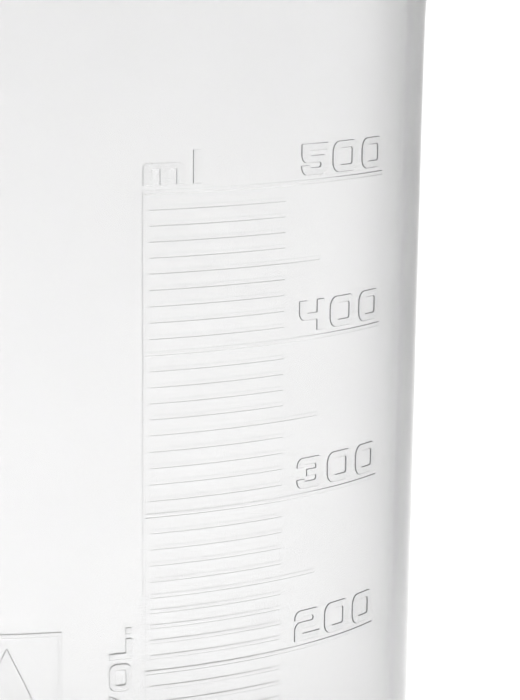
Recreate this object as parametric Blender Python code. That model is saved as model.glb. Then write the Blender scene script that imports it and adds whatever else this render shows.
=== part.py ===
"""A low-form laboratory beaker in translucent polypropylene, with a raised 100 to 500 ml scale.

The beaker is one injection moulding. The vessel is one solid, and every raised mark of the
scale is a solid of its own that lies on the outside of the wall.

Frame: metres, +Z up, origin at the centre of the underside. -Y faces the middle of the scale,
and the pouring spout is at -X. Azimuths are counted from -Y towards +X.
"""

import math

import bmesh
import bpy
from mathutils import Matrix, Vector

MM = 0.001

# Vessel
BASE_RADIUS = 45.27 * MM  # outside, where the cone would meet the bench
TAPER = 0.02553  # radius gained for each unit of height
WALL = 1.9 * MM
FLOOR = 2.5 * MM
HEEL_RADIUS = 4.0 * MM  # outside corner between the underside and the wall
CORNER_RADIUS = 5.0 * MM  # inside corner between the floor and the wall
FLARE_START = 91.5 * MM
FLARE_RADIUS = 330.0 * MM  # the upper wall opens along this large arc
LIP_START = 113.0 * MM
LIP_RADIUS = 8.0 * MM  # the rim turns outwards along this one
LIP_END = 118.42 * MM
SPOUT_AZIMUTH = math.radians(-90)
SPOUT_START = 98.0 * MM
SPOUT_REACH = 5.2 * MM  # how far the spout stands out from the rim
SPOUT_DROP = 1.2 * MM  # how far its tip hangs below the rim
SPOUT_WIDTH = math.radians(13)
SIDES = 96
FACET = 2 * math.pi / SIDES

# Scale: heights of the 50 ml marks above the bench, and lengths around the wall
SCALE_HEIGHTS = {
    500: 83.2 * MM,
    450: 75.5 * MM,
    400: 67.55 * MM,
    350: 59.7 * MM,
    300: 51.6 * MM,
    250: 43.55 * MM,
    200: 35.9 * MM,
    150: 28.0 * MM,
    100: 20.0 * MM,
}
MAIN_STEP = 50
FINE_STEP = 10
NUMBERED_STEP = 100
ARC_RADIUS = 47.4 * MM  # lengths around the wall are counted at this radius
SPINE_AZIMUTH = math.radians(-20)
SPINE_WIDTH = 0.3 * MM
LINE_WIDTH = 0.4 * MM
LINE_START = 0.6 * MM  # the shorter lines keep this far from the spine
SHORT_END = 16.4 * MM
MIDDLE_END = 21.5 * MM
LONG_END = 33.1 * MM
RELIEF = 0.2 * MM  # how far the marks stand out
SEAT = 0.01 * MM  # clearance between a mark and the wall

# Numerals, a wide squared face
DIGIT_HEIGHT = 3.1 * MM
DIGIT_WIDTH = 4.0 * MM
ZERO_WIDTH = 4.45 * MM
ONE_WIDTH = 2.1 * MM
STEM = 1.15 * MM  # thickness of the upright strokes
BAR = 0.7 * MM  # thickness of the level strokes
DIGIT_GAP = 0.77 * MM
DIGIT_LIFT = 0.66 * MM  # clearance above the line
NUMERAL_END = 32.95 * MM
ROUND = 0.8 * MM
ZERO_ROUND = 1.05 * MM
EYE_ROUND = 0.25 * MM
ARC_STEPS = 4

# Unit, legend and badge
UNIT_START = -0.1 * MM
UNIT_STEM = 0.9 * MM
UNIT_BAR = 0.6 * MM
M_WIDTH = 4.4 * MM
M_HEIGHT = 2.1 * MM
L_START = 5.2 * MM
L_HEIGHT = 3.25 * MM
LEGEND_SIZE = 2.35 * MM  # height of its capitals
LEGEND_STROKE = 0.62 * MM
LEGEND_BASE = -1.35 * MM  # the legend reads upwards, left of the spine
LEGEND_DEPTH = 52.0 * MM  # from the 500 ml line down to the legend's first letter
LEGEND_WIDTHS = {"v": 2.7 * MM, "o": 2.75 * MM, "l": 2.05 * MM}
LEGEND_GAP = 0.45 * MM
BADGE_SIZE = 11.0 * MM
BADGE_LINE = 0.4 * MM
BADGE_RIGHT = -8.5 * MM
BADGE_DEPTH = 42.5 * MM  # from the 500 ml line down to the badge's top edge
DROP_RADIUS = 2.5 * MM
DROP_TALL = 2.3  # height of the drop's point above its centre, in radii
DROP_STEPS = 20


def clear_scene():
    for old in list(bpy.data.objects):
        bpy.data.objects.remove(old, do_unlink=True)


def plastic(name, tint, roughness):
    """A Principled material for one sub-part."""
    made = bpy.data.materials.new(name)
    made.use_nodes = True
    shader = made.node_tree.nodes["Principled BSDF"]
    shader.inputs["Base Color"].default_value = (*tint, 1)
    shader.inputs["Roughness"].default_value = roughness
    shader.inputs["Metallic"].default_value = 0
    return made


def add_object(name, bm, material, smooth_angle):
    """Turns a bmesh into a named object that is smooth except at its sharp edges."""
    mesh = bpy.data.meshes.new(name)
    bm.to_mesh(mesh)
    bm.free()
    mesh.shade_smooth()
    mesh.set_sharp_from_angle(angle=smooth_angle)
    mesh.materials.append(material)
    made = bpy.data.objects.new(name, mesh)
    bpy.context.scene.collection.objects.link(made)
    return made


# Vessel


def outer_radius(z):
    """The cone, then the slow flare, then the turned-out lip."""
    radius = BASE_RADIUS + TAPER * z
    if z > FLARE_START:
        radius += (z - FLARE_START) ** 2 / (2 * FLARE_RADIUS)
    if z > LIP_START:
        radius += LIP_RADIUS - math.sqrt(LIP_RADIUS**2 - (z - LIP_START) ** 2)
    return radius


def wall_heights():
    """Heights of the wall's rings, close together where it curves."""
    heights = [HEEL_RADIUS, FLARE_START]
    heights += [FLARE_START + (LIP_START - FLARE_START) * part for part in (1 / 3, 2 / 3, 1)]
    heights += [LIP_START + (LIP_END - LIP_START) * part / 4 for part in range(1, 5)]
    return heights


def inward_normal(z):
    """Points from the outside of the wall to its inside, square to it."""
    step = 0.01 * MM
    slope = (outer_radius(z) - outer_radius(z - step)) / step
    return Vector((-1, slope)).normalized()


def heel():
    """Outside corner arc, from the underside up to the wall."""
    centre = Vector((outer_radius(HEEL_RADIUS) - HEEL_RADIUS, HEEL_RADIUS))
    for turn in (0, 22.5, 45, 67.5):
        angle = math.radians(turn - 90)
        yield centre + HEEL_RADIUS * Vector((math.cos(angle), math.sin(angle)))


def inner_corner():
    """Inside corner arc, from the wall down to the floor."""
    top = FLOOR + CORNER_RADIUS
    centre = Vector((outer_radius(top) - WALL - CORNER_RADIUS, top))
    for turn in (0, 22.5, 45, 67.5, 90):
        angle = math.radians(-turn)
        yield centre + CORNER_RADIUS * Vector((math.cos(angle), math.sin(angle)))


def rim_round():
    """The rounded end of the lip, from outside to inside."""
    across = inward_normal(LIP_END)
    along = Vector((across.y, -across.x))
    middle = Vector((outer_radius(LIP_END), LIP_END)) + across * WALL / 2
    for turn in (-60, -30, 0, 30, 60):
        angle = math.radians(turn)
        yield middle + (along * math.cos(angle) + across * math.sin(angle)) * WALL / 2


def vessel_profile():
    """Radius and height of each ring, from the underside up the outside and down the inside."""
    outside = [Vector((outer_radius(z), z)) for z in wall_heights()]
    inside = [point + inward_normal(point.y) * WALL for point in outside[1:]]
    return [*heel(), *outside, *rim_round(), *reversed(inside), *inner_corner()]


def spout_pull(azimuth):
    """1 at the middle of the spout, falling smoothly to 0 on both sides."""
    return math.exp(-(((azimuth - SPOUT_AZIMUTH) / SPOUT_WIDTH) ** 2))


def ring_point(radius, z, azimuth):
    """A point of a ring, pulled outwards and down where the spout is."""
    rise = max(0.0, (z - SPOUT_START) / (LIP_END - SPOUT_START))
    pull = spout_pull(azimuth) * rise**2
    radius += SPOUT_REACH * pull
    z -= SPOUT_DROP * pull * rise
    return Vector((radius * math.sin(azimuth), -radius * math.cos(azimuth), z))


def azimuths():
    """Azimuths of the wall's corners, from behind on the left round to behind on the right."""
    return [FACET * (side - SIDES // 2) for side in range(SIDES)]


def make_vessel():
    bm = bmesh.new()
    rings = []
    for radius, z in vessel_profile():
        rings.append([bm.verts.new(ring_point(radius, z, angle)) for angle in azimuths()])
    for low, high in zip(rings, rings[1:]):
        for side in range(SIDES):
            after = (side + 1) % SIDES
            bm.faces.new((low[side], low[after], high[after], high[side]))
    bm.faces.new(rings[0][::-1])
    bm.faces.new(rings[-1])
    material = plastic("polypropylene_wall", (0.93, 0.93, 0.93), 0.35)
    return add_object("beaker_body", bm, material, math.radians(35))


# Outlines of the marks, as corners of (x, y, radius)


def rounded(corners, steps=ARC_STEPS):
    """Points along a closed outline whose corners are rounded off."""
    points = []
    for index, (x, y, radius) in enumerate(corners):
        here = Vector((x, y))
        if not radius:
            points.append(here)
            continue
        before = (Vector(corners[index - 1][:2]) - here).normalized()
        after = (Vector(corners[(index + 1) % len(corners)][:2]) - here).normalized()
        half = before.angle(after) / 2
        centre = here + (before + after).normalized() * (radius / math.sin(half))
        start = here + before * (radius / math.tan(half)) - centre
        end = here + after * (radius / math.tan(half)) - centre
        turn = -start.angle_signed(end)
        for step in range(steps + 1):
            points.append(centre + Matrix.Rotation(turn * step / steps, 2) @ start)
    return points


def box(x0, y0, x1, y1, radius=0.0):
    return [(x0, y0, radius), (x1, y0, radius), (x1, y1, radius), (x0, y1, radius)]


def stroke(path, stem, bar):
    """Corners of a stroke along a path of upright and level runs.

    The path's points are (x, y, radius), where the radius is that of the turn's outer side.
    """
    half = Vector((stem / 2, bar / 2))
    left, right = [], []
    last = len(path) - 1
    for index, (x, y, radius) in enumerate(path):
        normal = Vector((0, 0))
        runs = []
        for first, second in ((index - 1, index), (index, index + 1)):
            if first < 0 or second > last:
                continue
            run = Vector(path[second][:2]) - Vector(path[first][:2])
            runs.append(run.normalized())
            normal += Vector((-runs[-1].y, runs[-1].x))
        turn = runs[0].cross(runs[-1]) if len(runs) == 2 else 0
        inner = min(radius, EYE_ROUND)
        left.append((x + normal.x * half.x, y + normal.y * half.y, inner if turn > 0 else radius))
        right.append((x - normal.x * half.x, y - normal.y * half.y, radius if turn > 0 else inner))
    return right + left[::-1]


def digit_levels():
    """Centre lines of a digit's strokes: left, right, bottom, middle, top."""
    left, right = STEM / 2, DIGIT_WIDTH - STEM / 2
    return left, right, BAR / 2, DIGIT_HEIGHT / 2, DIGIT_HEIGHT - BAR / 2


def glyph_one():
    foot = ONE_WIDTH - STEM
    flag = DIGIT_HEIGHT - BAR
    return [
        (foot, 0, 0),
        (ONE_WIDTH, 0, 0),
        (ONE_WIDTH, DIGIT_HEIGHT, 0),
        (0, DIGIT_HEIGHT, 0),
        (0, flag, 0),
        (foot, flag, 0),
    ]


def glyph_two():
    left, right, low, middle, top = digit_levels()
    hook = DIGIT_HEIGHT - 1.35 * BAR
    path = [(left, hook, 0), (left, top, ROUND), (right, top, ROUND), (right, middle, ROUND)]
    path += [(left, middle, ROUND), (left, low, 0), (DIGIT_WIDTH, low, 0)]
    return stroke(path, STEM, BAR)


def glyph_three():
    """The bar in the middle is shorter than the two that end in hooks."""
    inner = DIGIT_WIDTH - STEM
    middle = DIGIT_HEIGHT / 2
    hook = 1.35 * BAR
    tongue = 0.36 * DIGIT_WIDTH
    lower = [
        (0, 0, ROUND),
        (DIGIT_WIDTH, 0, ROUND),
        (DIGIT_WIDTH, middle, 0),
        (tongue, middle, 0),
        (tongue, middle - BAR / 2, 0),
        (inner, middle - BAR / 2, 0),
        (inner, BAR, EYE_ROUND),
        (STEM, BAR, 0),
        (STEM, hook, 0),
        (0, hook, 0),
    ]
    upper = [(x, DIGIT_HEIGHT - y, radius) for x, y, radius in reversed(lower)]
    return lower[:2] + upper[-2:] + upper[:6] + lower[4:]


def glyph_four():
    """An open top, and an upright that runs past the bar."""
    right = DIGIT_WIDTH - 0.3 * BAR
    bar = 0.36 * DIGIT_HEIGHT
    return [
        (0, bar, ROUND),
        (right - STEM, bar, 0),
        (right - STEM, 0, 0),
        (right, 0, 0),
        (right, DIGIT_HEIGHT, 0),
        (right - STEM, DIGIT_HEIGHT, 0),
        (right - STEM, bar + BAR, 0),
        (STEM, bar + BAR, 0),
        (STEM, DIGIT_HEIGHT, 0),
        (0, DIGIT_HEIGHT, 0),
    ]


def glyph_five():
    left, right, low, middle, top = digit_levels()
    hook = 1.35 * BAR
    path = [(DIGIT_WIDTH, top, 0), (left, top, 0), (left, middle, ROUND), (right, middle, ROUND)]
    path += [(right, low, ROUND), (left, low, ROUND), (left, hook, 0)]
    return stroke(path, STEM, BAR)


def letter_m():
    middle = M_WIDTH / 2
    inside = M_HEIGHT - UNIT_BAR
    half = UNIT_STEM / 2
    return [
        (0, 0, 0),
        (UNIT_STEM, 0, 0),
        (UNIT_STEM, inside, 0),
        (middle - half, inside, 0),
        (middle - half, 0, 0),
        (middle + half, 0, 0),
        (middle + half, inside, 0),
        (M_WIDTH - UNIT_STEM, inside, 0),
        (M_WIDTH - UNIT_STEM, 0, 0),
        (M_WIDTH, 0, 0),
        (M_WIDTH, M_HEIGHT, ROUND),
        (0, M_HEIGHT, ROUND / 2),
    ]


def legend_v():
    width = LEGEND_WIDTHS["v"]
    slant = 1.1 * LEGEND_STROKE
    return [
        (width / 2 - slant / 2, 0, 0),
        (width / 2 + slant / 2, 0, 0),
        (width, LEGEND_SIZE, 0),
        (width - slant, LEGEND_SIZE, 0),
        (width / 2, slant, 0),
        (slant, LEGEND_SIZE, 0),
        (0, LEGEND_SIZE, 0),
    ]


def legend_l():
    half = LEGEND_STROKE / 2
    path = [(half, LEGEND_SIZE, 0), (half, half, 0), (LEGEND_WIDTHS["l"], half, 0)]
    return stroke(path, LEGEND_STROKE, LEGEND_STROKE)


def drop_outline():
    """A round drop with a point on top, where its sides leave the circle as tangents."""
    lean = math.acos(1 / DROP_TALL)
    first, last = math.pi / 2 + lean, 2.5 * math.pi - lean
    points = [Vector((0, DROP_TALL * DROP_RADIUS))]
    for step in range(DROP_STEPS + 1):
        angle = first + (last - first) * step / DROP_STEPS
        points.append(DROP_RADIUS * Vector((math.cos(angle), math.sin(angle))))
    return points


# Marks on the wall


def facet_point(arc, z, lift):
    """The point of the wall's flat facets at an arc length from the spine and a height."""
    azimuth = SPINE_AZIMUTH + arc / ARC_RADIUS
    side = math.floor(azimuth / FACET)
    part = azimuth / FACET - side
    corners = []
    for angle in (side * FACET, (side + 1) * FACET):
        corners.append(Vector((math.sin(angle), -math.cos(angle))))
    flat = corners[0].lerp(corners[1], part) * (BASE_RADIUS + TAPER * z + lift)
    return Vector((flat.x, flat.y, z))


def split_at_facets(bm):
    """Cuts a flat mark into triangles, and these along the edges between the wall's facets."""
    bm.normal_update()
    bmesh.ops.triangulate(bm, faces=bm.faces[:])
    arcs = [vert.co.x * MM for vert in bm.verts]
    first = math.ceil((SPINE_AZIMUTH + min(arcs) / ARC_RADIUS) / FACET)
    last = math.floor((SPINE_AZIMUTH + max(arcs) / ARC_RADIUS) / FACET)
    for side in range(first, last + 1):
        arc = (side * FACET - SPINE_AZIMUTH) * ARC_RADIUS / MM
        geometry = bm.verts[:] + bm.edges[:] + bm.faces[:]
        bmesh.ops.bisect_plane(bm, geom=geometry, plane_co=(arc, 0, 0), plane_no=(1, 0, 0))


def thicken(bm):
    """Closes a flat mark into a solid, and returns the corners of its raised side."""
    seats = bm.faces[:]
    loops = [loop for face in seats for loop in face.loops if loop.edge.is_boundary]
    rim = [(loop.vert, loop.link_loop_next.vert) for loop in loops]
    tops = {vert: bm.verts.new(vert.co) for vert in bm.verts[:]}
    for face in seats:
        bm.faces.new([tops[vert] for vert in face.verts])
    for here, after in rim:
        bm.faces.new((here, after, tops[after], tops[here]))
    bmesh.ops.reverse_faces(bm, faces=seats)
    return set(tops.values())


def add_mark(name, outline, material, hole=None):
    """A raised mark: its outline is cut at the facets, flat and in millimetres, then laid on."""
    bm = bmesh.new()
    outer = [bm.verts.new((point.x / MM, point.y / MM, 0)) for point in outline]
    if hole:
        inner = [bm.verts.new((point.x / MM, point.y / MM, 0)) for point in hole]
        for index in range(len(outer)):
            after = (index + 1) % len(outer)
            bm.faces.new((outer[index], outer[after], inner[after], inner[index]))
    else:
        bm.faces.new(outer)
    split_at_facets(bm)
    tops = thicken(bm)
    for vert in bm.verts:
        lift = SEAT + (RELIEF if vert in tops else 0)
        vert.co = facet_point(vert.co.x * MM, vert.co.y * MM, lift)
    return add_object(name, bm, material, math.radians(20))


def moved(points, x, y):
    return [point + Vector((x, y)) for point in points]


def turned(points, x, y):
    """Lays points along a line of text that reads upwards from (x, y)."""
    return [Vector((x - point.y, y + point.x)) for point in points]


def line_box(millilitres, start, end):
    z = line_height(millilitres)
    return rounded(box(start, z - LINE_WIDTH / 2, end, z + LINE_WIDTH / 2))


def line_height(millilitres):
    """Height of a line: the fine lines lie evenly between the 50 ml marks."""
    below = millilitres // MAIN_STEP * MAIN_STEP
    if below == millilitres:
        return SCALE_HEIGHTS[millilitres]
    part = (millilitres - below) / MAIN_STEP
    low, high = SCALE_HEIGHTS[below], SCALE_HEIGHTS[below + MAIN_STEP]
    return low + (high - low) * part


def comb_corners(numbered):
    """The spine and the numbered lines, which run into it, as one outline."""
    half = SPINE_WIDTH / 2
    corners = []
    for millilitres in numbered:
        z = SCALE_HEIGHTS[millilitres]
        bottom, top = z - LINE_WIDTH / 2, z + LINE_WIDTH / 2
        corners += [(half, bottom, 0), (LONG_END, bottom, 0), (LONG_END, top, 0), (half, top, 0)]
    corners[0] = (-half, corners[0][1], 0)
    corners[-1] = (-half, corners[-1][1], 0)
    return corners


def make_lines(material):
    lowest, highest = min(SCALE_HEIGHTS), max(SCALE_HEIGHTS)
    numbered = range(lowest, highest + 1, NUMBERED_STEP)
    add_mark("scale_spine_and_hundreds", rounded(comb_corners(numbered)), material)
    for millilitres in range(lowest, highest, FINE_STEP):
        if millilitres % NUMBERED_STEP == 0:
            continue
        end = SHORT_END if millilitres % MAIN_STEP else MIDDLE_END
        add_mark(f"line_{millilitres}", line_box(millilitres, LINE_START, end), material)


def zero_outlines(width, height, stem, bar, corner):
    outer = rounded(box(0, 0, width, height, corner))
    inner = rounded(box(stem, bar, width - stem, height - bar, EYE_ROUND))
    return outer, inner


def make_numerals(material):
    glyphs = {1: glyph_one, 2: glyph_two, 3: glyph_three, 4: glyph_four, 5: glyph_five}
    outer, inner = zero_outlines(ZERO_WIDTH, DIGIT_HEIGHT, STEM, BAR, ZERO_ROUND)
    for hundreds, glyph in glyphs.items():
        number = hundreds * NUMBERED_STEP
        base = SCALE_HEIGHTS[number] + DIGIT_LIFT
        arc = NUMERAL_END
        for place in ("0b", "0a"):
            arc -= ZERO_WIDTH
            ring = moved(outer, arc, base)
            eye = moved(inner, arc, base)
            add_mark(f"numeral_{number}_{place}", ring, material, eye)
            arc -= DIGIT_GAP
        arc -= ONE_WIDTH if hundreds == 1 else DIGIT_WIDTH
        add_mark(f"numeral_{number}_{hundreds}", moved(rounded(glyph()), arc, base), material)


def make_unit(material):
    base = SCALE_HEIGHTS[500] + DIGIT_LIFT
    add_mark("unit_m", moved(rounded(letter_m()), UNIT_START, base), material)
    stem = rounded(box(L_START, base, L_START + UNIT_STEM, base + L_HEIGHT))
    add_mark("unit_l", stem, material)


def make_legend(material):
    z = SCALE_HEIGHTS[500] - LEGEND_DEPTH
    add_mark("legend_v", turned(rounded(legend_v()), LEGEND_BASE, z), material)
    z += LEGEND_WIDTHS["v"] + LEGEND_GAP
    width = LEGEND_WIDTHS["o"]
    outer, inner = zero_outlines(width, LEGEND_SIZE, LEGEND_STROKE, LEGEND_STROKE, ROUND)
    ring = turned(outer, LEGEND_BASE, z)
    eye = turned(inner, LEGEND_BASE, z)
    add_mark("legend_o", ring, material, eye)
    z += width + LEGEND_GAP
    add_mark("legend_l", turned(rounded(legend_l()), LEGEND_BASE, z), material)


def make_badge(material):
    """A plain frame with a drop in it."""
    top = SCALE_HEIGHTS[500] - BADGE_DEPTH
    left, bottom = BADGE_RIGHT - BADGE_SIZE, top - BADGE_SIZE
    outer = rounded(box(left, bottom, BADGE_RIGHT, top))
    edge = BADGE_LINE
    inner = rounded(box(left + edge, bottom + edge, BADGE_RIGHT - edge, top - edge))
    add_mark("badge_frame", outer, material, inner)
    x = left + BADGE_SIZE / 2
    y = bottom + BADGE_SIZE / 2 - DROP_RADIUS * (DROP_TALL - 1) / 2
    add_mark("badge_drop", moved(drop_outline(), x, y), material)


def main():
    clear_scene()
    make_vessel()
    relief = plastic("polypropylene_relief", (0.9, 0.9, 0.9), 0.35)
    make_lines(relief)
    make_numerals(relief)
    make_unit(relief)
    make_legend(relief)
    make_badge(relief)


main()
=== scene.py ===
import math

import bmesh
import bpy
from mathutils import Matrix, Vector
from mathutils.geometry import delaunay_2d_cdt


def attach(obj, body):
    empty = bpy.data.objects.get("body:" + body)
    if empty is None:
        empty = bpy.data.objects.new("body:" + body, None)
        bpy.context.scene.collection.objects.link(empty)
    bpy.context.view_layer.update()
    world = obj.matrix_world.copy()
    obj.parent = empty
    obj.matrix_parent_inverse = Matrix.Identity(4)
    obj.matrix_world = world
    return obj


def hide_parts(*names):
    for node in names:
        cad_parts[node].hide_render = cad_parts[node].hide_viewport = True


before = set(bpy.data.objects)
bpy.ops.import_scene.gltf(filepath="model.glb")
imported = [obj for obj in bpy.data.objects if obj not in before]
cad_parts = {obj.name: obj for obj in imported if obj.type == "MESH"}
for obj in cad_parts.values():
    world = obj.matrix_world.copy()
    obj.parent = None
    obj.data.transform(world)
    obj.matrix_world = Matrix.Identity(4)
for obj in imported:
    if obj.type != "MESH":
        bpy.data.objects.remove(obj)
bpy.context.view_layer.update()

# The looks of a translucent polypropylene beaker with a raised millilitre scale.
# The real beaker is one moulding, so the vessel and its marks are made here as one closed surface.
# The marks are drawn flat, on a sheet of lengths around the wall and heights, joined with the
# wall's columns into one mesh of triangles, and wrapped round the cone.
# Lengths are in millimetres up to the point where the mesh is made.

MM = 0.001

# Vessel, as in the CAD model
BASE_RADIUS = 45.27
TAPER = 0.02553
WALL = 1.9
FLOOR = 2.5
HEEL_RADIUS = 4.0
CORNER_RADIUS = 5.0
FLARE_START = 91.5
FLARE_RADIUS = 330.0
LIP_START = 113.0
LIP_RADIUS = 8.0
LIP_END = 118.38  # a little under the CAD model's, so that the finer rim stays inside its box
SPOUT_AZIMUTH = math.radians(-90)
SPOUT_START = 98.0
SPOUT_REACH = 5.2
SPOUT_DROP = 1.2
SPOUT_WIDTH = math.radians(13)

# Scale, as in the CAD model
SCALE_HEIGHTS = {500: 83.2, 450: 75.5, 400: 67.55, 350: 59.7, 300: 51.6, 250: 43.55, 200: 35.9}
SCALE_HEIGHTS.update({150: 28.0, 100: 20.0})
MAIN_STEP = 50
FINE_STEP = 10
NUMBERED_STEP = 100
ARC_RADIUS = 47.4
SPINE_AZIMUTH = math.radians(-20)
SPINE_WIDTH = 0.3
LINE_WIDTH = 0.4
LINE_START = 0.6
SHORT_END = 16.4
MIDDLE_END = 21.5
LONG_END = 33.1

# Numerals, unit, legend and badge, as in the CAD model
DIGIT_HEIGHT = 3.1
DIGIT_WIDTH = 4.0
ZERO_WIDTH = 4.45
ONE_WIDTH = 2.1
STEM = 1.15
BAR = 0.7
HOOK = 1.35 * BAR
DIGIT_GAP = 0.77
DIGIT_LIFT = 0.66
NUMERAL_END = 32.95
ROUND = 0.8
ZERO_ROUND = 1.05
EYE_ROUND = 0.25
TONGUE = 0.36  # start of the three's middle bar, as a part of its width
CROSSBAR = 0.36  # underside of the four's bar, as a part of its height
OVERHANG = 0.3  # of the four's bar past its upright, in bars
UNIT_START = -0.1
UNIT_STEM = 0.9
UNIT_BAR = 0.6
M_WIDTH = 4.4
M_HEIGHT = 2.1
L_START = 5.2
L_HEIGHT = 3.25
LEGEND_SIZE = 2.35
LEGEND_STROKE = 0.62
LEGEND_BASE = -1.35
LEGEND_DEPTH = 52.0
LEGEND_WIDTHS = {"v": 2.7, "o": 2.75, "l": 2.05}
LEGEND_SLANT = 1.1  # level width of the v's arms, in strokes
LEGEND_GAP = 0.45
BADGE_SIZE = 11.0
BADGE_LINE = 0.4
BADGE_RIGHT = -8.5
BADGE_DEPTH = 42.5
DROP_RADIUS = 2.5
DROP_TALL = 2.3  # height of the drop's tip over its round part's centre, in radii

# Relief: how far the marks rise from the wall, and the slope round their edges
DIGIT_RISE = 0.1
LETTER_RISE = 0.17  # also of the badge's drop
FRAME_RISE = 0.1
LONG_RISE = 0.07  # of the spine and the long lines
LINE_RISE = 0.045
SLOPE = 0.06  # half the width of the slope, to both sides of the outline
SLOPE_LEVELS = (0, 0.25, 0.5, 0.75, 1)
CHORD_ERROR = 0.01  # of the arcs of rounded corners

# Fineness of the vessel
COLUMNS = 360
COLUMN = 2 * math.pi / COLUMNS
ARC_STEPS = 10
RIM_STEPS = 16
WALL_STEPS = 8
SHEET_COLUMNS = range(-46, 24)  # those that the marks cross
SHEET_BOTTOM = 17.0
SHEET_TOP = 90.0
WELD = 0.001

# Plastic. Sizes and depths are in millimetres.
PLASTIC_IOR = 1.49
CLEARNESS = 0.87  # the rest of the light is scattered at the surface, which looks milky
ABSORPTION = 10.0  # per metre
RELIEF_LAYER = "relief"
NOISE_DETAIL = 3.0
CLOUD_SIZE = 14.0
CLOUD_TONES = (0.98, 1.0)
MARK_PAINTED_SHADE = 0.96  # painted shade on top of the marks, as a part of the wall's tone, for the darker look of their thicker plastic
SMEAR_SIZE = 6.0
WALL_ROUGHNESS = (0.05, 0.13)
MARK_ROUGHNESS = 0.04  # added on top of the marks
POLISH_GRAIN = (0.5, 40.0, 0.0006)  # size, stretch upwards, depth
WALL_WAVE = (9.0, 3.0, 0.01)

# Camera
CAMERA_AZIMUTH = math.radians(-38.24)
CAMERA_REACH = 341.7  # from the beaker's axis
CAMERA_HEIGHT = 109.63
CAMERA_PAN = math.radians(-4.99)
CAMERA_TILT = math.radians(-7.99)
CAMERA_ROLL = math.radians(-0.29)
CAMERA_LENS = 160.4
CAMERA_NEAR = 0.01

# Floor, in metres: a satin disc with a low wall that sweeps up from its edge
FLOOR_GAP = 0.0002  # under the beaker
FLOOR_TONE = 0.9
FLOOR_ROUGHNESS = (0.3, 0.4)
FLOOR_PATCH = 40.0  # size of its patches of roughness, in millimetres
SWEEP_RADIUS = 4.2
SWEEP_HEIGHT = 1.3
SWEEP_STEPS = 12
SWEEP_SIDES = 96

# Studio, in metres. The white side has its edge just right of the camera's view.
ROOM_LEVEL = 0.41
WHITE_LEVEL = 1.75
WHITE_AZIMUTH = math.radians(190)
WHITE_START = 0.38  # cosine of the angle from its middle at which the white starts
WHITE_END = 0.46  # and at which it is full
PANEL_AZIMUTH = math.radians(127)
PANEL_EDGE = 0.06  # how far it reaches to the right of the beaker's axis, seen from the camera
PANEL_START = 0.05  # behind the axis
PANEL_LENGTH = 5.0
PANEL_WIDTH = 6.0
PANEL_HEIGHT = 0.5
PANEL_SPREAD = math.radians(18)
PANEL_POWER = 91.0
OVERHEAD_HEIGHT = 0.7
OVERHEAD_SIZE = 0.5
OVERHEAD_POWER = 1.0


# Outlines of the marks, as corners of (x, y, radius), counter-clockwise


def box(x0, y0, x1, y1, radius=0.0):
    return [(x0, y0, radius), (x1, y0, radius), (x1, y1, radius), (x0, y1, radius)]


def stroke(path, stem, bar):
    """Corners of a stroke along a path of upright and level runs, with rounded turns."""
    half = Vector((stem / 2, bar / 2))
    left, right = [], []
    last = len(path) - 1
    for index, (x, y, radius) in enumerate(path):
        normal = Vector((0, 0))
        runs = []
        for first, second in ((index - 1, index), (index, index + 1)):
            if first < 0 or second > last:
                continue
            run = Vector(path[second][:2]) - Vector(path[first][:2])
            runs.append(run.normalized())
            normal += Vector((-runs[-1].y, runs[-1].x))
        turn = runs[0].cross(runs[-1])
        inner = min(radius, EYE_ROUND)
        left.append((x + normal.x * half.x, y + normal.y * half.y, inner if turn > 0 else radius))
        right.append((x - normal.x * half.x, y - normal.y * half.y, radius if turn > 0 else inner))
    return right + left[::-1]


def digit_levels():
    """Centre lines of a digit's strokes: left, right, bottom, middle, top."""
    left, right = STEM / 2, DIGIT_WIDTH - STEM / 2
    return left, right, BAR / 2, DIGIT_HEIGHT / 2, DIGIT_HEIGHT - BAR / 2


def glyph_one():
    foot, flag = ONE_WIDTH - STEM, DIGIT_HEIGHT - BAR
    top = [(ONE_WIDTH, DIGIT_HEIGHT, 0), (0, DIGIT_HEIGHT, 0)]
    return [(foot, 0, 0), (ONE_WIDTH, 0, 0), *top, (0, flag, 0), (foot, flag, 0)]


def glyph_two():
    left, right, low, middle, top = digit_levels()
    path = [(left, DIGIT_HEIGHT - HOOK, 0), (left, top, ROUND), (right, top, ROUND)]
    path += [(right, middle, ROUND), (left, middle, ROUND), (left, low, 0), (DIGIT_WIDTH, low, 0)]
    return stroke(path, STEM, BAR)


def glyph_three():
    """The bar in the middle is shorter than the two that end in hooks."""
    inner, middle, tongue = DIGIT_WIDTH - STEM, DIGIT_HEIGHT / 2, TONGUE * DIGIT_WIDTH
    lower = [(0, 0, ROUND), (DIGIT_WIDTH, 0, ROUND), (DIGIT_WIDTH, middle, 0), (tongue, middle, 0)]
    lower += [(tongue, middle - BAR / 2, 0), (inner, middle - BAR / 2, 0), (inner, BAR, EYE_ROUND)]
    lower += [(STEM, BAR, 0), (STEM, HOOK, 0), (0, HOOK, 0)]
    upper = [(x, DIGIT_HEIGHT - y, radius) for x, y, radius in reversed(lower)]
    return lower[:2] + upper[-2:] + upper[:6] + lower[4:]


def glyph_four():
    """An open top, and an upright that runs past the bar."""
    right, bar = DIGIT_WIDTH - OVERHANG * BAR, CROSSBAR * DIGIT_HEIGHT
    left = right - STEM
    upright = [(left, bar, 0), (left, 0, 0), (right, 0, 0), (right, DIGIT_HEIGHT, 0)]
    upright += [(left, DIGIT_HEIGHT, 0), (left, bar + BAR, 0)]
    arm = [(STEM, bar + BAR, 0), (STEM, DIGIT_HEIGHT, 0), (0, DIGIT_HEIGHT, 0)]
    return [(0, bar, ROUND), *upright, *arm]


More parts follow.
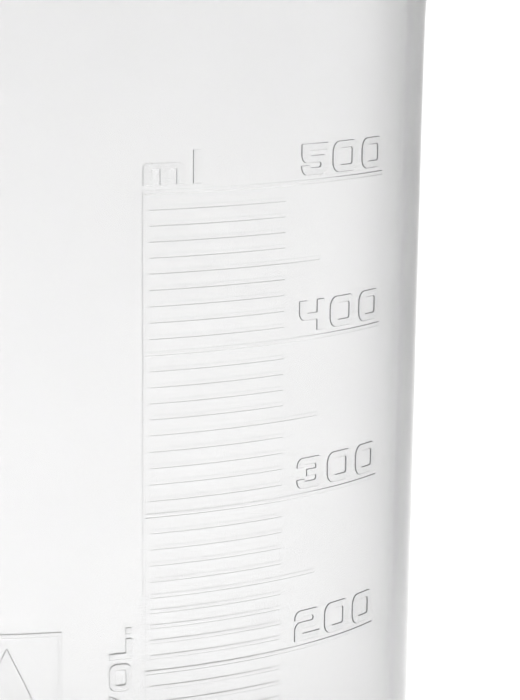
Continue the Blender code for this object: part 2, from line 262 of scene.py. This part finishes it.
def glyph_five():
    left, right, low, middle, top = digit_levels()
    path = [(DIGIT_WIDTH, top, 0), (left, top, 0), (left, middle, ROUND), (right, middle, ROUND)]
    path += [(right, low, ROUND), (left, low, ROUND), (left, HOOK, 0)]
    return stroke(path, STEM, BAR)


def letter_m():
    middle, inside, half = M_WIDTH / 2, M_HEIGHT - UNIT_BAR, UNIT_STEM / 2
    corners = [(0, 0, 0)]
    for start, end in ((UNIT_STEM, middle - half), (middle + half, M_WIDTH - UNIT_STEM)):
        corners += [(start, 0, 0), (start, inside, 0), (end, inside, 0), (end, 0, 0)]
    return [*corners, (M_WIDTH, 0, 0), (M_WIDTH, M_HEIGHT, ROUND), (0, M_HEIGHT, ROUND / 2)]


def legend_v():
    width, slant = LEGEND_WIDTHS["v"], LEGEND_SLANT * LEGEND_STROKE
    foot = [(width / 2 - slant / 2, 0, 0), (width / 2 + slant / 2, 0, 0)]
    arms = [(width, LEGEND_SIZE, 0), (width - slant, LEGEND_SIZE, 0), (width / 2, slant, 0)]
    return [*foot, *arms, (slant, LEGEND_SIZE, 0), (0, LEGEND_SIZE, 0)]


def legend_l():
    half = LEGEND_STROKE / 2
    path = [(half, LEGEND_SIZE, 0), (half, half, 0), (LEGEND_WIDTHS["l"], half, 0)]
    return stroke(path, LEGEND_STROKE, LEGEND_STROKE)


def drop():
    """A circle with a point on top: a triangle whose two lower corners share one round."""
    height = (DROP_TALL + 1) * DROP_RADIUS
    reach = height / math.sqrt(DROP_TALL**2 - 1)
    return [(-reach, 0, DROP_RADIUS), (reach, 0, DROP_RADIUS), (0, height, 0)]


def zero(width, height, stem, bar, corner):
    """Outside and eye of a squared zero."""
    eye = box(stem, bar, width - stem, height - bar, EYE_ROUND)
    return box(0, 0, width, height, corner), eye


def moved(corners, x, y):
    return [(x + corner[0], y + corner[1], corner[2]) for corner in corners]


def turned(corners, x, y):
    """Lays corners along a line of text that reads upwards from (x, y)."""
    return [(x - corner[1], y + corner[0], corner[2]) for corner in corners]


# The sheet


class Sheet:
    """The flat drawing: upright columns, and each mark as five loops up its slope."""

    def __init__(self):
        self.points = []
        self.edges = []
        self.lifts = []
        self.tilts = []
        self.first_loop_edge = 0

    def add_columns(self):
        for column in SHEET_COLUMNS:
            x = (column * COLUMN - SPINE_AZIMUTH) * ARC_RADIUS
            self.edges.append((len(self.points), len(self.points) + 1))
            self.points += [Vector((x, SHEET_BOTTOM)), Vector((x, SHEET_TOP))]
        self.lifts += [0.0] * len(self.points)
        self.tilts += [Vector((0, 0))] * len(self.points)
        self.first_loop_edge = len(self.edges)

    def add_loop(self, corners, outwards, lift, steepness):
        """A closed loop at a distance outside the outline, with its corners as arcs."""
        first = len(self.points)
        for index, (x, y, radius) in enumerate(corners):
            here = Vector((x, y))
            before = (here - Vector(corners[index - 1][:2])).normalized()
            after = (Vector(corners[(index + 1) % len(corners)][:2]) - here).normalized()
            start, end = Vector((before.y, -before.x)), Vector((after.y, -after.x))
            turn = math.atan2(before.cross(after), before.dot(after))
            side = math.copysign(max(radius, SLOPE), turn)
            centre = here - (start + end) * side / (1 + start.dot(end))
            steps = math.ceil(abs(turn) / math.sqrt(8 * CHORD_ERROR / abs(side)))
            for step in range(steps + 1):
                normal = Matrix.Rotation(turn * step / steps, 2) @ start
                self.points.append(centre + normal * (side + outwards))
                self.tilts.append(normal * steepness)
        count = len(self.points) - first
        self.lifts += [lift] * count
        self.edges += [(first + here, first + (here + 1) % count) for here in range(count)]

    def add_mark(self, corners, rise, hole=None):
        """A smooth step up from the wall to the mark's top, inside the outline."""
        for level in SLOPE_LEVELS:
            lift = rise * level**2 * (3 - 2 * level)
            steepness = rise / (2 * SLOPE) * 6 * level * (1 - level)
            outwards = SLOPE * (1 - 2 * level)
            self.add_loop(corners, outwards, lift, steepness)
            if hole:
                self.add_loop(hole, -outwards, lift, -steepness)

    def triangulate(self):
        """Corners and triangles of the sheet, with each corner's lift and tilt."""
        result = delaunay_2d_cdt(self.points, self.edges, [], 0, WELD / 10, True)
        points, edges, faces, _, sources, _ = result
        lifts = [0.0] * len(points)
        tilts = [Vector((0, 0))] * len(points)
        for ends, origins in zip(edges, sources):
            for origin in origins:
                if origin < self.first_loop_edge:
                    continue
                start, end = self.edges[origin]
                run = self.points[end] - self.points[start]
                for index in ends:
                    part = (points[index] - self.points[start]).dot(run) / run.length_squared
                    lifts[index] = self.lifts[start]
                    tilts[index] = self.tilts[start].lerp(self.tilts[end], part)
        return points, faces, lifts, tilts


def line_height(millilitres):
    """Height of a line: the fine lines lie evenly between the 50 ml marks."""
    below = millilitres // MAIN_STEP * MAIN_STEP
    if below == millilitres:
        return SCALE_HEIGHTS[millilitres]
    part = (millilitres - below) / MAIN_STEP
    low, high = SCALE_HEIGHTS[below], SCALE_HEIGHTS[below + MAIN_STEP]
    return low + (high - low) * part


def draw_lines(sheet):
    """The spine and the long lines are one comb, and the others stand free."""
    lowest, highest = min(SCALE_HEIGHTS), max(SCALE_HEIGHTS)
    half = SPINE_WIDTH / 2
    comb = []
    for millilitres in range(lowest, highest + 1, NUMBERED_STEP):
        z = SCALE_HEIGHTS[millilitres]
        comb += box(half, z - LINE_WIDTH / 2, LONG_END, z + LINE_WIDTH / 2)
    comb[0] = (-half, comb[0][1], 0)
    comb[-1] = (-half, comb[-1][1], 0)
    sheet.add_mark(comb, LONG_RISE)
    for millilitres in range(lowest, highest, FINE_STEP):
        if millilitres % NUMBERED_STEP == 0:
            continue
        z = line_height(millilitres)
        end = SHORT_END if millilitres % MAIN_STEP else MIDDLE_END
        sheet.add_mark(box(LINE_START, z - LINE_WIDTH / 2, end, z + LINE_WIDTH / 2), LINE_RISE)


def draw_numerals(sheet):
    """Each numeral is drawn from its right end: two zeros, then the hundreds."""
    glyphs = {1: glyph_one, 2: glyph_two, 3: glyph_three, 4: glyph_four, 5: glyph_five}
    ring, eye = zero(ZERO_WIDTH, DIGIT_HEIGHT, STEM, BAR, ZERO_ROUND)
    for hundreds, glyph in glyphs.items():
        base = SCALE_HEIGHTS[hundreds * NUMBERED_STEP] + DIGIT_LIFT
        x = NUMERAL_END
        for _ in range(2):
            x -= ZERO_WIDTH
            sheet.add_mark(moved(ring, x, base), DIGIT_RISE, moved(eye, x, base))
            x -= DIGIT_GAP
        x -= ONE_WIDTH if hundreds == 1 else DIGIT_WIDTH
        sheet.add_mark(moved(glyph(), x, base), DIGIT_RISE)


def draw_unit(sheet):
    """The unit stands on the top line, at the spine."""
    base = SCALE_HEIGHTS[500] + DIGIT_LIFT
    sheet.add_mark(moved(letter_m(), UNIT_START, base), LETTER_RISE)
    sheet.add_mark(box(L_START, base, L_START + UNIT_STEM, base + L_HEIGHT), LETTER_RISE)


def draw_legend(sheet):
    """An abbreviation for volume that reads upwards, left of the spine."""
    z = SCALE_HEIGHTS[500] - LEGEND_DEPTH
    sheet.add_mark(turned(legend_v(), LEGEND_BASE, z), LETTER_RISE)
    z += LEGEND_WIDTHS["v"] + LEGEND_GAP
    ring, eye = zero(LEGEND_WIDTHS["o"], LEGEND_SIZE, LEGEND_STROKE, LEGEND_STROKE, ROUND)
    sheet.add_mark(turned(ring, LEGEND_BASE, z), LETTER_RISE, turned(eye, LEGEND_BASE, z))
    z += LEGEND_WIDTHS["o"] + LEGEND_GAP
    sheet.add_mark(turned(legend_l(), LEGEND_BASE, z), LETTER_RISE)
    z += LEGEND_WIDTHS["l"] + LEGEND_GAP
    dot = box(0, 0, LEGEND_STROKE, LEGEND_STROKE)
    sheet.add_mark(turned(dot, LEGEND_BASE, z), LETTER_RISE)


def draw_badge(sheet):
    """A plain frame with a drop in it."""
    top = SCALE_HEIGHTS[500] - BADGE_DEPTH
    left, bottom = BADGE_RIGHT - BADGE_SIZE, top - BADGE_SIZE
    edge = BADGE_LINE
    inner = box(left + edge, bottom + edge, BADGE_RIGHT - edge, top - edge)
    sheet.add_mark(box(left, bottom, BADGE_RIGHT, top), FRAME_RISE, inner)
    middle = left + BADGE_SIZE / 2
    base = bottom + (BADGE_SIZE - (DROP_TALL + 1) * DROP_RADIUS) / 2
    sheet.add_mark(moved(drop(), middle, base), LETTER_RISE)


# The vessel


def outer_radius(z):
    """The cone, then the slow flare, then the turned-out lip."""
    radius = BASE_RADIUS + TAPER * z
    if z > FLARE_START:
        radius += (z - FLARE_START) ** 2 / (2 * FLARE_RADIUS)
    if z > LIP_START:
        radius += LIP_RADIUS - math.sqrt(LIP_RADIUS**2 - (z - LIP_START) ** 2)
    return radius


def inward_normal(z):
    """Points from the outside of the wall to its inside, square to it."""
    step = 0.01
    slope = (outer_radius(z) - outer_radius(z - step)) / step
    return Vector((-1, slope)).normalized()


def arc(centre, radius, start, end, steps):
    """Points of an arc between two angles, in degrees from straight outwards."""
    for step in range(steps + 1):
        angle = math.radians(start + (end - start) * step / steps)
        yield centre + radius * Vector((math.cos(angle), math.sin(angle)))


def steps_between(low, high, steps):
    """Evenly spaced heights after the first one, up to the last one."""
    return [low + (high - low) * step / steps for step in range(1, steps + 1)]


def profile_heights():
    heights = [HEEL_RADIUS, SHEET_BOTTOM, SHEET_TOP, FLARE_START]
    heights += steps_between(FLARE_START, LIP_START, WALL_STEPS)
    heights += steps_between(LIP_START, LIP_END, WALL_STEPS)
    return heights


def vessel_profile():
    """Radius and height of each ring, from the underside up the outside and down the inside."""
    outside = [Vector((outer_radius(z), z)) for z in profile_heights()]
    inside = [point + inward_normal(point.y) * WALL for point in outside[1:]]
    heel = Vector((outer_radius(HEEL_RADIUS) - HEEL_RADIUS, HEEL_RADIUS))
    corner_top = FLOOR + CORNER_RADIUS
    corner = Vector((outer_radius(corner_top) - WALL - CORNER_RADIUS, corner_top))
    lean = math.degrees(math.asin(inward_normal(LIP_END).y))
    rim = (outside[-1] + inside[-1]) / 2
    return [
        *list(arc(heel, HEEL_RADIUS, -90, 0, ARC_STEPS))[:-1],
        *outside,
        *list(arc(rim, WALL / 2, -lean, 180 - lean, RIM_STEPS))[1:-1],
        *reversed(inside),
        *arc(corner, CORNER_RADIUS, 0, -90, ARC_STEPS),
    ]


def spout_pull(azimuth):
    """1 at the middle of the spout, falling smoothly to 0 on both sides."""
    return math.exp(-(((azimuth - SPOUT_AZIMUTH) / SPOUT_WIDTH) ** 2))


def ring_point(radius, z, azimuth):
    """A point of a ring in metres, pulled outwards and down where the spout is."""
    rise = max(0.0, (z - SPOUT_START) / (LIP_END - SPOUT_START))
    pull = spout_pull(azimuth) * rise**2
    radius += SPOUT_REACH * pull
    z -= SPOUT_DROP * pull * rise
    return MM * Vector((radius * math.sin(azimuth), -radius * math.cos(azimuth), z))


def add_rings(bm):
    """The vessel as rings of columns, with a window where the sheet goes."""
    profile = vessel_profile()
    window = [z for _, z in profile].index(SHEET_BOTTOM)
    azimuths = [COLUMN * (column - COLUMNS // 2) for column in range(COLUMNS)]
    rings = [[bm.verts.new(ring_point(*point, angle)) for angle in azimuths] for point in profile]
    for level, (low, high) in enumerate(zip(rings, rings[1:])):
        for column in range(COLUMNS):
            after = (column + 1) % COLUMNS
            number = column - COLUMNS // 2
            if level == window and number in SHEET_COLUMNS[:-1]:
                continue
            bm.faces.new((low[column], low[after], high[after], high[column]))
    bm.faces.new(rings[0][::-1])
    bm.faces.new(rings[-1])


def add_sheet(bm, slopes, reliefs):
    """Lays the drawn sheet on the cone, and keeps each corner's normal and how far it is raised."""
    sheet = Sheet()
    sheet.add_columns()
    for draw in (draw_lines, draw_numerals, draw_unit, draw_legend, draw_badge):
        draw(sheet)
    points, faces, lifts, tilts = sheet.triangulate()
    verts = []
    for point, lift, tilt in zip(points, lifts, tilts):
        azimuth = SPINE_AZIMUTH + point.x / ARC_RADIUS
        vert = bm.verts.new(ring_point(outer_radius(point.y) + lift, point.y, azimuth))
        outward = Vector((math.sin(azimuth), -math.cos(azimuth), -TAPER))
        along = Vector((math.cos(azimuth), math.sin(azimuth), 0))
        vert[slopes] = (outward + along * tilt.x + Vector((0, 0, tilt.y))).normalized()
        vert[reliefs] = lift / DIGIT_RISE
        verts.append(vert)
    for face in faces:
        bm.faces.new([verts[index] for index in face])


def make_beaker():
    """The mesh keeps the drawn normals, of length 1, and gets smooth ones everywhere else."""
    bm = bmesh.new()
    slopes = bm.verts.layers.float_vector.new("sheet_normal")
    reliefs = bm.verts.layers.float.new(RELIEF_LAYER)
    add_rings(bm)
    add_sheet(bm, slopes, reliefs)
    bmesh.ops.remove_doubles(bm, verts=bm.verts, dist=WELD * MM)
    mesh = bpy.data.meshes.new("beaker")
    given = [vert[slopes].copy() for vert in bm.verts]
    bm.to_mesh(mesh)
    bm.free()
    mesh.shade_smooth()
    smooth = [vector.vector.copy() for vector in mesh.vertex_normals]
    normals = [drawn if drawn.length > 0.5 else own for drawn, own in zip(given, smooth)]
    mesh.normals_split_custom_set_from_vertices(normals)
    beaker = bpy.data.objects.new("beaker", mesh)
    bpy.context.scene.collection.objects.link(beaker)
    return beaker


def add_noise(tree, size, stretch=1.0):
    """Noise from 0 to 1, with features of a size in millimetres that can be stretched upwards."""
    place = tree.nodes.new("ShaderNodeTexCoord").outputs["Object"]
    mapping = tree.nodes.new("ShaderNodeMapping")
    mapping.inputs["Scale"].default_value = (1, 1, 1 / stretch)
    noise = tree.nodes.new("ShaderNodeTexNoise")
    noise.inputs["Scale"].default_value = 1 / (size * MM)
    noise.inputs["Detail"].default_value = NOISE_DETAIL
    tree.links.new(place, mapping.inputs["Vector"])
    tree.links.new(mapping.outputs["Vector"], noise.inputs["Vector"])
    return noise.outputs["Fac"]


def add_range(tree, value, low, high):
    """Spreads a value from 0 to 1 over another range."""
    spread = tree.nodes.new("ShaderNodeMapRange")
    spread.inputs["To Min"].default_value = low
    spread.inputs["To Max"].default_value = high
    tree.links.new(value, spread.inputs["Value"])
    return spread.outputs["Result"]


def combine(tree, operation, first, second):
    """Adds or multiplies two values."""
    node = tree.nodes.new("ShaderNodeMath")
    node.operation = operation
    tree.links.new(first, node.inputs[0])
    tree.links.new(second, node.inputs[1])
    return node.outputs["Value"]


def add_marks(tree):
    """How far the surface is raised: 0 on the wall, 1 on top of a numeral."""
    attribute = tree.nodes.new("ShaderNodeAttribute")
    attribute.attribute_name = RELIEF_LAYER
    return attribute.outputs["Fac"]


def make_plastic():
    """Natural polypropylene: clear enough to see through, milky enough to glow."""
    material = bpy.data.materials.new("polypropylene")
    material.use_nodes = True
    tree = material.node_tree
    shader = tree.nodes["Principled BSDF"]
    shader.inputs["IOR"].default_value = PLASTIC_IOR
    shader.inputs["Transmission Weight"].default_value = CLEARNESS
    cloud = add_noise(tree, CLOUD_SIZE)
    marks = add_marks(tree)
    # Painted shade: the tops of the marks are darkened in the base colour, standing in for the
    # light lost through their thicker plastic
    shade = add_range(tree, marks, 1, MARK_PAINTED_SHADE)
    tone = combine(tree, "MULTIPLY", add_range(tree, cloud, *CLOUD_TONES), shade)
    colour = tree.nodes.new("ShaderNodeCombineColor")
    for channel in colour.inputs:
        tree.links.new(tone, channel)
    tree.links.new(colour.outputs["Color"], shader.inputs["Base Color"])
    smear = add_range(tree, add_noise(tree, SMEAR_SIZE), *WALL_ROUGHNESS)
    roughness = combine(tree, "ADD", smear, add_range(tree, marks, 0, MARK_ROUGHNESS))
    tree.links.new(roughness, shader.inputs["Roughness"])
    add_grain(tree, shader)
    absorb = tree.nodes.new("ShaderNodeVolumeAbsorption")
    absorb.inputs["Color"].default_value = (0, 0, 0, 1)
    absorb.inputs["Density"].default_value = ABSORPTION
    tree.links.new(absorb.outputs["Volume"], tree.nodes["Material Output"].inputs["Volume"])
    return material


def add_grain(tree, shader):
    """The mould's faint upright polishing lines, and a slight waviness of the wall."""
    normal = None
    for size, stretch, depth in (POLISH_GRAIN, WALL_WAVE):
        bump = tree.nodes.new("ShaderNodeBump")
        bump.inputs["Strength"].default_value = 1.0
        bump.inputs["Distance"].default_value = depth * MM
        tree.links.new(add_noise(tree, size, stretch), bump.inputs["Height"])
        if normal:
            tree.links.new(normal, bump.inputs["Normal"])
        normal = bump.outputs["Normal"]
    tree.links.new(normal, shader.inputs["Normal"])


def make_camera():
    data = bpy.data.cameras.new("camera")
    data.lens = CAMERA_LENS
    data.clip_start = CAMERA_NEAR
    camera = bpy.data.objects.new("camera", data)
    bpy.context.scene.collection.objects.link(camera)
    place = Vector((math.sin(CAMERA_AZIMUTH), -math.cos(CAMERA_AZIMUTH), 0)) * CAMERA_REACH
    place.z = CAMERA_HEIGHT
    pan = Matrix.Rotation(CAMERA_AZIMUTH + CAMERA_PAN, 4, "Z")
    tilt = Matrix.Rotation(math.radians(90) + CAMERA_TILT, 4, "X")
    roll = Matrix.Rotation(CAMERA_ROLL, 4, "Z")
    camera.matrix_world = Matrix.Translation(place * MM) @ pan @ tilt @ roll
    bpy.context.scene.camera = camera


def floor_profile():
    """Radius and height of each ring of the floor, out to the top of its sweep."""
    profile = [(SWEEP_RADIUS, 0)]
    for step in range(1, SWEEP_STEPS + 1):
        turn = math.radians(90) * step / SWEEP_STEPS
        radius = SWEEP_RADIUS + SWEEP_HEIGHT * math.sin(turn)
        profile.append((radius, SWEEP_HEIGHT * (1 - math.cos(turn))))
    return profile


def make_floor():
    """A round floor that sweeps up into a low wall, so that no horizon shows."""
    bm = bmesh.new()
    angles = [2 * math.pi * side / SWEEP_SIDES for side in range(SWEEP_SIDES)]
    rings = []
    for radius, z in floor_profile():
        places = [(radius * math.cos(a), radius * math.sin(a), z - FLOOR_GAP) for a in angles]
        rings.append([bm.verts.new(place) for place in places])
    bm.faces.new(rings[0])
    for low, high in zip(rings, rings[1:]):
        for side in range(SWEEP_SIDES):
            after = (side + 1) % SWEEP_SIDES
            bm.faces.new((low[after], low[side], high[side], high[after]))
    mesh = bpy.data.meshes.new("floor")
    bm.to_mesh(mesh)
    bm.free()
    mesh.shade_smooth()
    mesh.materials.append(make_floor_paint())
    floor = bpy.data.objects.new("floor", mesh)
    bpy.context.scene.collection.objects.link(floor)


def make_floor_paint():
    """Pale satin paint."""
    material = bpy.data.materials.new("floor")
    material.use_nodes = True
    tree = material.node_tree
    shader = tree.nodes["Principled BSDF"]
    shader.inputs["Base Color"].default_value = (FLOOR_TONE, FLOOR_TONE, FLOOR_TONE, 1)
    roughness = add_range(tree, add_noise(tree, FLOOR_PATCH), *FLOOR_ROUGHNESS)
    tree.links.new(roughness, shader.inputs["Roughness"])
    return material


def direction(azimuth):
    """Level direction from the beaker, by azimuth."""
    return Vector((math.sin(azimuth), -math.cos(azimuth), 0))


def make_world():
    """A studio that is white behind the beaker and to one side, and dimmer all round."""
    world = bpy.data.worlds.new("studio")
    world.use_nodes = True
    bpy.context.scene.world = world
    tree = world.node_tree
    view = tree.nodes.new("ShaderNodeTexCoord").outputs["Generated"]
    background = tree.nodes["Background"]
    background.inputs["Color"].default_value = (1, 1, 1, 1)
    tree.links.new(white_side(tree, view), background.inputs["Strength"])


def white_side(tree, view):
    """Light level by direction: it rises where the direction turns towards the white side."""
    dot = tree.nodes.new("ShaderNodeVectorMath")
    dot.operation = "DOT_PRODUCT"
    dot.inputs[1].default_value = direction(WHITE_AZIMUTH)
    tree.links.new(view, dot.inputs[0])
    ramp = tree.nodes.new("ShaderNodeMapRange")
    ramp.interpolation_type = "SMOOTHSTEP"
    ramp.inputs["From Min"].default_value = WHITE_START
    ramp.inputs["From Max"].default_value = WHITE_END
    ramp.inputs["To Min"].default_value = ROOM_LEVEL
    ramp.inputs["To Max"].default_value = WHITE_LEVEL
    tree.links.new(dot.outputs["Value"], ramp.inputs["Value"])
    return ramp.outputs["Result"]


def make_panel():
    """A wide light over the floor behind the beaker, with its edge just right of the view."""
    along, across = direction(PANEL_AZIMUTH), direction(PANEL_AZIMUTH + math.radians(90))
    centre = along * (PANEL_START + PANEL_LENGTH / 2) + across * (PANEL_WIDTH / 2 - PANEL_EDGE)
    turn = Matrix((along, across, (0, 0, 1))).transposed().to_4x4()
    place = Matrix.Translation((centre.x, centre.y, PANEL_HEIGHT)) @ turn
    panel = make_light("panel", PANEL_LENGTH, PANEL_WIDTH, PANEL_POWER, place)
    panel.data.spread = PANEL_SPREAD


def make_overhead():
    """A soft box above the beaker, which lights its inside and softens its shadow."""
    place = Matrix.Translation((0, 0, OVERHEAD_HEIGHT))
    make_light("overhead", OVERHEAD_SIZE, OVERHEAD_SIZE, OVERHEAD_POWER, place)


def make_light(name, length, width, power, place):
    """A rectangle of light that shines down and doesn't show itself."""
    data = bpy.data.lights.new(name, "AREA")
    data.shape = "RECTANGLE"
    data.size = length
    data.size_y = width
    data.energy = power
    light = bpy.data.objects.new(name, data)
    light.matrix_world = place
    light.visible_camera = False
    light.visible_glossy = False
    light.visible_transmission = False
    bpy.context.scene.collection.objects.link(light)
    return light


def main():
    make_camera()
    beaker = make_beaker()
    beaker.data.materials.append(make_plastic())
    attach(beaker, "root")
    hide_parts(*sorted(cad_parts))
    make_floor()
    make_world()
    make_panel()
    make_overhead()
    bpy.context.scene.view_settings.view_transform = "Standard"


main()
